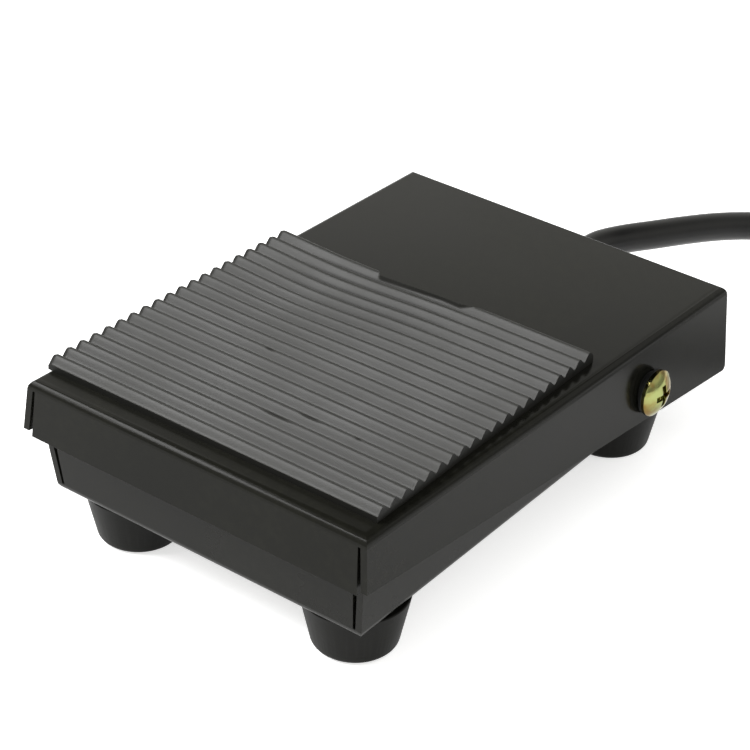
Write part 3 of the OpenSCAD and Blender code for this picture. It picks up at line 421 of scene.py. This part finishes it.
# Plastics of the switch and the bushes, the fibre sheet and the vinyl of the three cores
NYLON = plastic("black_nylon", "141414", "1f1f1f", 0.42)
CASE_PLASTIC = plastic("case_thermoset", "151515", "212120", 0.5, grain=0.667)
RED_PLASTIC = plastic("plunger_red", "8e1f16", "a32a1e", 0.35)
FIBRE = plastic("vulcanised_fibre", "a08c62", "b49f74", 0.7, grain=1.67, depth=0.05)
CORE_COLOURS = ("black", "white", "red")
CORE_PVC = [plastic("core_black", "121212", "1d1d1d", 0.32),
            plastic("core_white", "cfcfca", "dededa", 0.32),
            plastic("core_red", "8d1712", "a02019", 0.32)]


def dress(piece, mat):
    """Gives a piece one material, in a single slot."""
    piece.data.materials.clear()
    piece.data.materials.append(mat)


dress(cord, CORD_RUBBER)
for lead, mat, colour in zip(leads, CORE_PVC, CORE_COLOURS):
    dress(lead, mat)
for tip in tips:
    dress(tip, TINNED)


# Sheet metal, fixings and the switch

# How wide each node's edges are rounded, in mm, and its material
LOOK = {
    "pedal_cover": (0.12, PEDAL_PAINT), "base_tray": (0.12, BASE_PAINT),
    "foot_front_left": (0.25, FOOT_RUBBER), "foot_front_right": (0.25, FOOT_RUBBER),
    "foot_rear_left": (0.25, FOOT_RUBBER), "foot_rear_right": (0.25, FOOT_RUBBER),
    "foot_screws": (0.12, ZINC), "foot_nuts": (0.15, ZINC), "pivot_nuts": (0.15, ZINC),
    "pivot_screw_left": (0.15, YELLOW_ZINC), "pivot_screw_right": (0.15, YELLOW_ZINC),
    "pivot_bush_left": (0.1, NYLON), "pivot_bush_right": (0.1, NYLON),
    "spring_post": (0.15, ZINC), "spring_cup": (0.15, ZINC), "switch_bracket": (0.15, ZINC),
    "bracket_screws": (0.1, ZINC), "bracket_nuts": (0.12, ZINC), "insulator": (0.05, FIBRE),
    "switch_case": (0.1, CASE_PLASTIC), "switch_lid": (0.1, CASE_PLASTIC),
    "switch_screws": (0.08, ZINC), "switch_nuts": (0.08, ZINC), "switch_plunger": (0.15, RED_PLASTIC),
    "switch_lever": (0.05, SPRING_STEEL), "contact_blade": (0.03, BRASS),
    "terminal_common": (0.06, BRASS), "terminal_open": (0.06, BRASS), "terminal_closed": (0.06, BRASS),
    "strain_relief": (0.2, CORD_RUBBER), "cord_inner": (0.1, CORD_RUBBER), "cord_clip": (0.12, ZINC),
    "clip_screw": (0.1, ZINC), "clip_nut": (0.12, ZINC),
}
for node, (edge, mat) in LOOK.items():
    dress(detailed(node, edge * MM), mat)


# Tread mat

# In the pedal's own frame: from the pivot, and before the pedal's tilt at rest. y is counted from
# the pedal's front edge, as in part.scad
EDGE_Y, TOP_Z = -78 * MM, 9.3 * MM
MAT_Y, MAT_BASE = 4.5 * MM, 1.1 * MM
RIB, RIB_H, RIBS = 3.08 * MM, 1.3 * MM, 20
MAT_END = MAT_Y + RIBS * RIB
MAT_LEFT, MAT_RIGHT, MAT_RIGHT_REAR = -34.8 * MM, 33.4 * MM, 31.6 * MM
# How round a rib's crest and valley are, as shares of its flank, and points along its flank
CREST_SHARE, VALLEY_SHARE, FLANK_POINTS = 0.3, 0.12, 12
# Lines of points across the mat, more of them in a narrow share of it at the left border. With
# the flanks' points they keep the mat under 200,000 triangles
LINES, BORDER_LINES, BORDER_SHARE = 191, 12, 0.03
# Rear end, cut by hand: x and y, in mm. The points past the cut close up to this share of a gap
REAR_CUT = np.array((
    (-35, 65.7), (-29, 65.6), (-25, 64.8), (-21, 65.4), (-12, 64.8), (-11, 63.6), (-4, 63.7),
    (2, 63.8), (5.6, 63.7), (9, 64.7), (14, 65.1), (25, 65.7), (33, 65.9))) * MM
CLOSED_SHARE = 0.02
# Where the mat was pulled forward while it was laid: x, y, half widths and shift, in mm
PULL = (-16, 55, 16, 16, 1.6)
# Where crests are torn: x, which rib from the front, counted from 0, half length and depth, in mm
TEARS = ((5.2, 3, 2.6, 0.22), (9.4, 4, 1.8, 0.2), (-9, 8, 0.8, 0.15), (19, 4, 0.5, 0.1))
TEAR_W = 0.26 * MM
# The left border rolls down, and a stripe of painted shade along it is wider than the roll
ROLL_W, ROLL_DROP, STRIPE_W = 0.4 * MM, 0.3 * MM, 0.75 * MM
# Painted shade low in the valleys of a patch near the rear: x, y and half widths, in mm, and how high
# it reaches, in shares of a rib
VALLEY_SHADE = (-8, 60, 17, 10)
VALLEY_SHADE_TOP_SHARE, VALLEY_SHADE_FADE_SHARE = 0.385, 0.22


def rib_profile():
    """Height over one rib. The slope s(t) = tanh(t / a) tanh((1 - t) / b) fades at the crest (t = 0)
    and in the valley (t = 1), and its running sum is the half profile."""
    t = np.linspace(0, 1, FLANK_POINTS + 1)
    slope = np.tanh(t / CREST_SHARE) * np.tanh((1 - t) / VALLEY_SHARE)
    h = np.concatenate([[0], np.cumsum((slope[1:] + slope[:-1]) / 2)])
    h = 1 - h / h[-1]
    return np.concatenate([0.5 - t[::-1] / 2, 0.5 + t[1:] / 2]), np.concatenate([h[::-1], h[1:]])


def bell(distance, width, power=2):
    """exp(-(distance / width)^power), which is 1 in the middle and fades to nought."""
    return np.exp(-(distance / width) ** power)


def tread_top():
    """Grid over the mat, lines across it by points along it. x runs from the straight left border
    to the right one, which draws in to the rear. y stops at the rear cut, and is less by a bell of x
    and y where the mat was pulled. z is the rib profile, repeated, less a bell of x at the left
    border, and less a flat-topped bell of x times a bell of y at each tear. Also gives how dark
    each point is, the most of: a stripe of painted shade along the left border, painted shade from
    flat-topped bells of x and y, low in the valleys only, and the tears."""
    t, h = rib_profile()
    ys = np.concatenate([MAT_Y + (i + t[:-1]) * RIB for i in range(RIBS)] + [[MAT_END]])
    height = np.concatenate([h[:-1]] * RIBS + [[0]])
    across = np.linspace(0, 1, LINES)
    across = np.sort(np.concatenate([across, np.linspace(0, BORDER_SHARE, BORDER_LINES)[1:-1]]))
    right = MAT_RIGHT + (MAT_RIGHT_REAR - MAT_RIGHT) * (ys - MAT_Y) / (MAT_END - MAT_Y)
    x = MAT_LEFT + (right - MAT_LEFT) * across[:, None]
    end = np.interp(x[:, -1], REAR_CUT[:, 0], REAR_CUT[:, 1])[:, None]
    y = np.minimum(ys, end + (ys - MAT_END) * CLOSED_SHARE)
    z = np.tile(height * RIB_H + MAT_BASE, (len(across), 1))
    torn = np.zeros(z.shape)
    for tear_x, rib, half, depth in TEARS:
        near = bell(x / MM - tear_x, half, 4) * bell(y - MAT_Y - (rib + 0.5) * RIB, TEAR_W)
        z -= near * depth * MM
        torn = np.maximum(torn, near)
    z -= bell(x - MAT_LEFT, ROLL_W) * ROLL_DROP
    # Painted shade in a stripe along the rolled left border
    stripe = bell(x - MAT_LEFT, STRIPE_W)
    # Painted shade, low in the valleys of a patch near the rear
    valley_shade = bell(x / MM - VALLEY_SHADE[0], VALLEY_SHADE[2], 4) * bell(y / MM - VALLEY_SHADE[1], VALLEY_SHADE[3], 4)
    valley_shade *= np.clip((VALLEY_SHADE_TOP_SHARE - height) / VALLEY_SHADE_FADE_SHARE, 0, 1)
    pull = bell(x / MM - PULL[0], PULL[2]) * bell(y / MM - PULL[1], PULL[3]) * PULL[4] * MM
    return np.stack([x, y - pull, z], -1), np.maximum.reduce([stripe, valley_shade, torn])


def tread_piece():
    """The mat's top, walls down from its rim to the pedal and one face under it, all turned with
    the pedal. Its border attribute is how dark each corner is, and 1 on the walls and below, where
    the dark tone is painted shade."""
    top, dark = tread_top()
    grid = np.arange(dark.size).reshape(dark.shape)
    rim = np.concatenate([grid[:, 0], grid[-1, 1:], grid[-2::-1, -1], grid[0, -2:0:-1]])
    foot = np.arange(len(rim)) + dark.size
    verts = np.concatenate([top.reshape(-1, 3), top.reshape(-1, 3)[rim] * (1, 1, 0)])
    verts += (0, EDGE_Y, TOP_Z)
    turned = np.stack([verts[:, 0],
                       verts[:, 1] * cos(TILT) - verts[:, 2] * sin(TILT) + PIVOT[1],
                       verts[:, 1] * sin(TILT) + verts[:, 2] * cos(TILT) + PIVOT[2]], -1)
    faces = face_list(grid[:-1, :-1], grid[1:, :-1], grid[1:, 1:], grid[:-1, 1:])
    on_top = dark.ravel()[np.array(faces)].ravel()
    faces += face_list(rim, foot, np.roll(foot, -1), np.roll(rim, -1))
    faces.append(foot[::-1].tolist())
    piece = mesh_object("tread", turned, faces, "pedal", TREAD_SHARP)
    # The walls and the face below take the full dark tone, as painted shade
    border = np.ones(len(piece.data.loops))
    border[:len(on_top)] = on_top
    piece.data.attributes.new("border", "FLOAT", "CORNER").data.foreach_set("value", border)
    return piece


tread = tread_piece()
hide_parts("tread_mat")
dress(tread, MAT_RUBBER)


# Return spring

WIRE_R, SPRING_TURNS, SPRING_POINTS = 0.6 * MM, 6, 32
low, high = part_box("return_spring")
spring_y = (low[1] + high[1]) / 2
spring_r = (high[0] - low[0]) / 2 - WIRE_R
z0, z1 = low[2] + WIRE_R, high[2] - WIRE_R
# Helix: round the post once in each turn, and up evenly
turns = np.arange(SPRING_TURNS * SPRING_POINTS + 1) / SPRING_POINTS
helix = np.stack([spring_r * np.cos(2 * pi * turns), spring_y + spring_r * np.sin(2 * pi * turns),
                  z0 + (z1 - z0) * turns / SPRING_TURNS], -1)
spring = tube("return_spring_wire", helix, WIRE_R, "base", sides=12)
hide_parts("return_spring")
dress(spring, SPRING_STEEL)
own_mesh(spring)


# Floor, lamps and world

LAMP_TARGET = np.array((0, 0, 0.02))
# Towards the key lamp, whose image is what the ribs' front slopes and the front bend mirror
KEY_WAY, KEY_FAR = np.array((-0.516, -0.436, 0.739)), 1.1


def pale_floor():
    """White floor: it takes the object's shadow, and its glow lifts it to white for the camera and
    for what is mirrored or seen through, and lights nothing."""
    mat, tree, shader, _ = material("pale_floor")
    camera_ray, glossy_ray, clear_ray = (add(tree, "LightPath", {}, ray) for ray in (
        "Is Camera Ray", "Is Glossy Ray", "Is Transmission Ray"))
    seen = add(tree, "Math", {0: camera_ray, 1: glossy_ray}, operation="ADD")
    seen = add(tree, "Math", {0: seen, 1: clear_ray}, operation="ADD", use_clamp=True)
    glow = add(tree, "Math", {0: seen, 1: 0.62}, operation="MULTIPLY")
    feed(tree, shader, {"Base Color": "f4f4f4", "Roughness": 0.9, "Specular IOR Level": 0.0,
                        "Emission Color": "ffffff", "Emission Strength": glow})
    return mat


def lamp(name, place, size, watts, mirrored=True):
    """Square area lamp that looks at the object. A lamp that isn't mirrored only fills."""
    data = bpy.data.lights.new(name, "AREA")
    data.size = size
    data.energy = watts
    piece = bpy.data.objects.new(name, data)
    SCENE.collection.objects.link(piece)
    z = np.array(place) - LAMP_TARGET
    z /= np.linalg.norm(z)
    x = np.cross((0, 1.0, 0) if abs(z[2]) > 0.9 else (0, 0, 1.0), z)
    x /= np.linalg.norm(x)
    y = np.cross(z, x)
    piece.matrix_world = Matrix([[x[i], y[i], z[i], place[i]] for i in range(3)] + [[0, 0, 0, 1]])
    piece.visible_glossy = mirrored


def studio_world():
    """Pale walls, brightest halfway up, under a dark ceiling, as the paint mirrors them."""
    world = bpy.data.worlds.new("studio")
    world.use_nodes = True
    tree = world.node_tree
    height = add(tree, "SeparateXYZ", {0: add(tree, "TexCoord", {}, "Generated")}, 2)
    up_wall = add(tree, "MapRange", {"Value": height, "From Min": 0.14, "From Max": 0.3}, **RAMP)
    walls = add(tree, "Mix", {"Factor": up_wall, 6: "b0b0ae", 7: "f0efea"}, 2, data_type="RGBA")
    overhead = add(tree, "MapRange", {"Value": height, "From Min": 0.6, "From Max": 0.68}, **RAMP)
    room = add(tree, "Mix", {"Factor": overhead, 6: walls, 7: "161616"}, 2, data_type="RGBA")
    feed(tree, tree.nodes["Background"], {"Color": room, "Strength": 1.2})
    return world


bpy.ops.mesh.primitive_plane_add(size=8, location=(0, 0, 0))
floor = bpy.context.object
floor.name = "floor"
dress(floor, pale_floor())
lamp("key", LAMP_TARGET + KEY_WAY * KEY_FAR, 0.52, 14)
lamp("fill", (0.5, 0.05, 1.1), 1.0, 5, mirrored=False)
SCENE.world = studio_world()
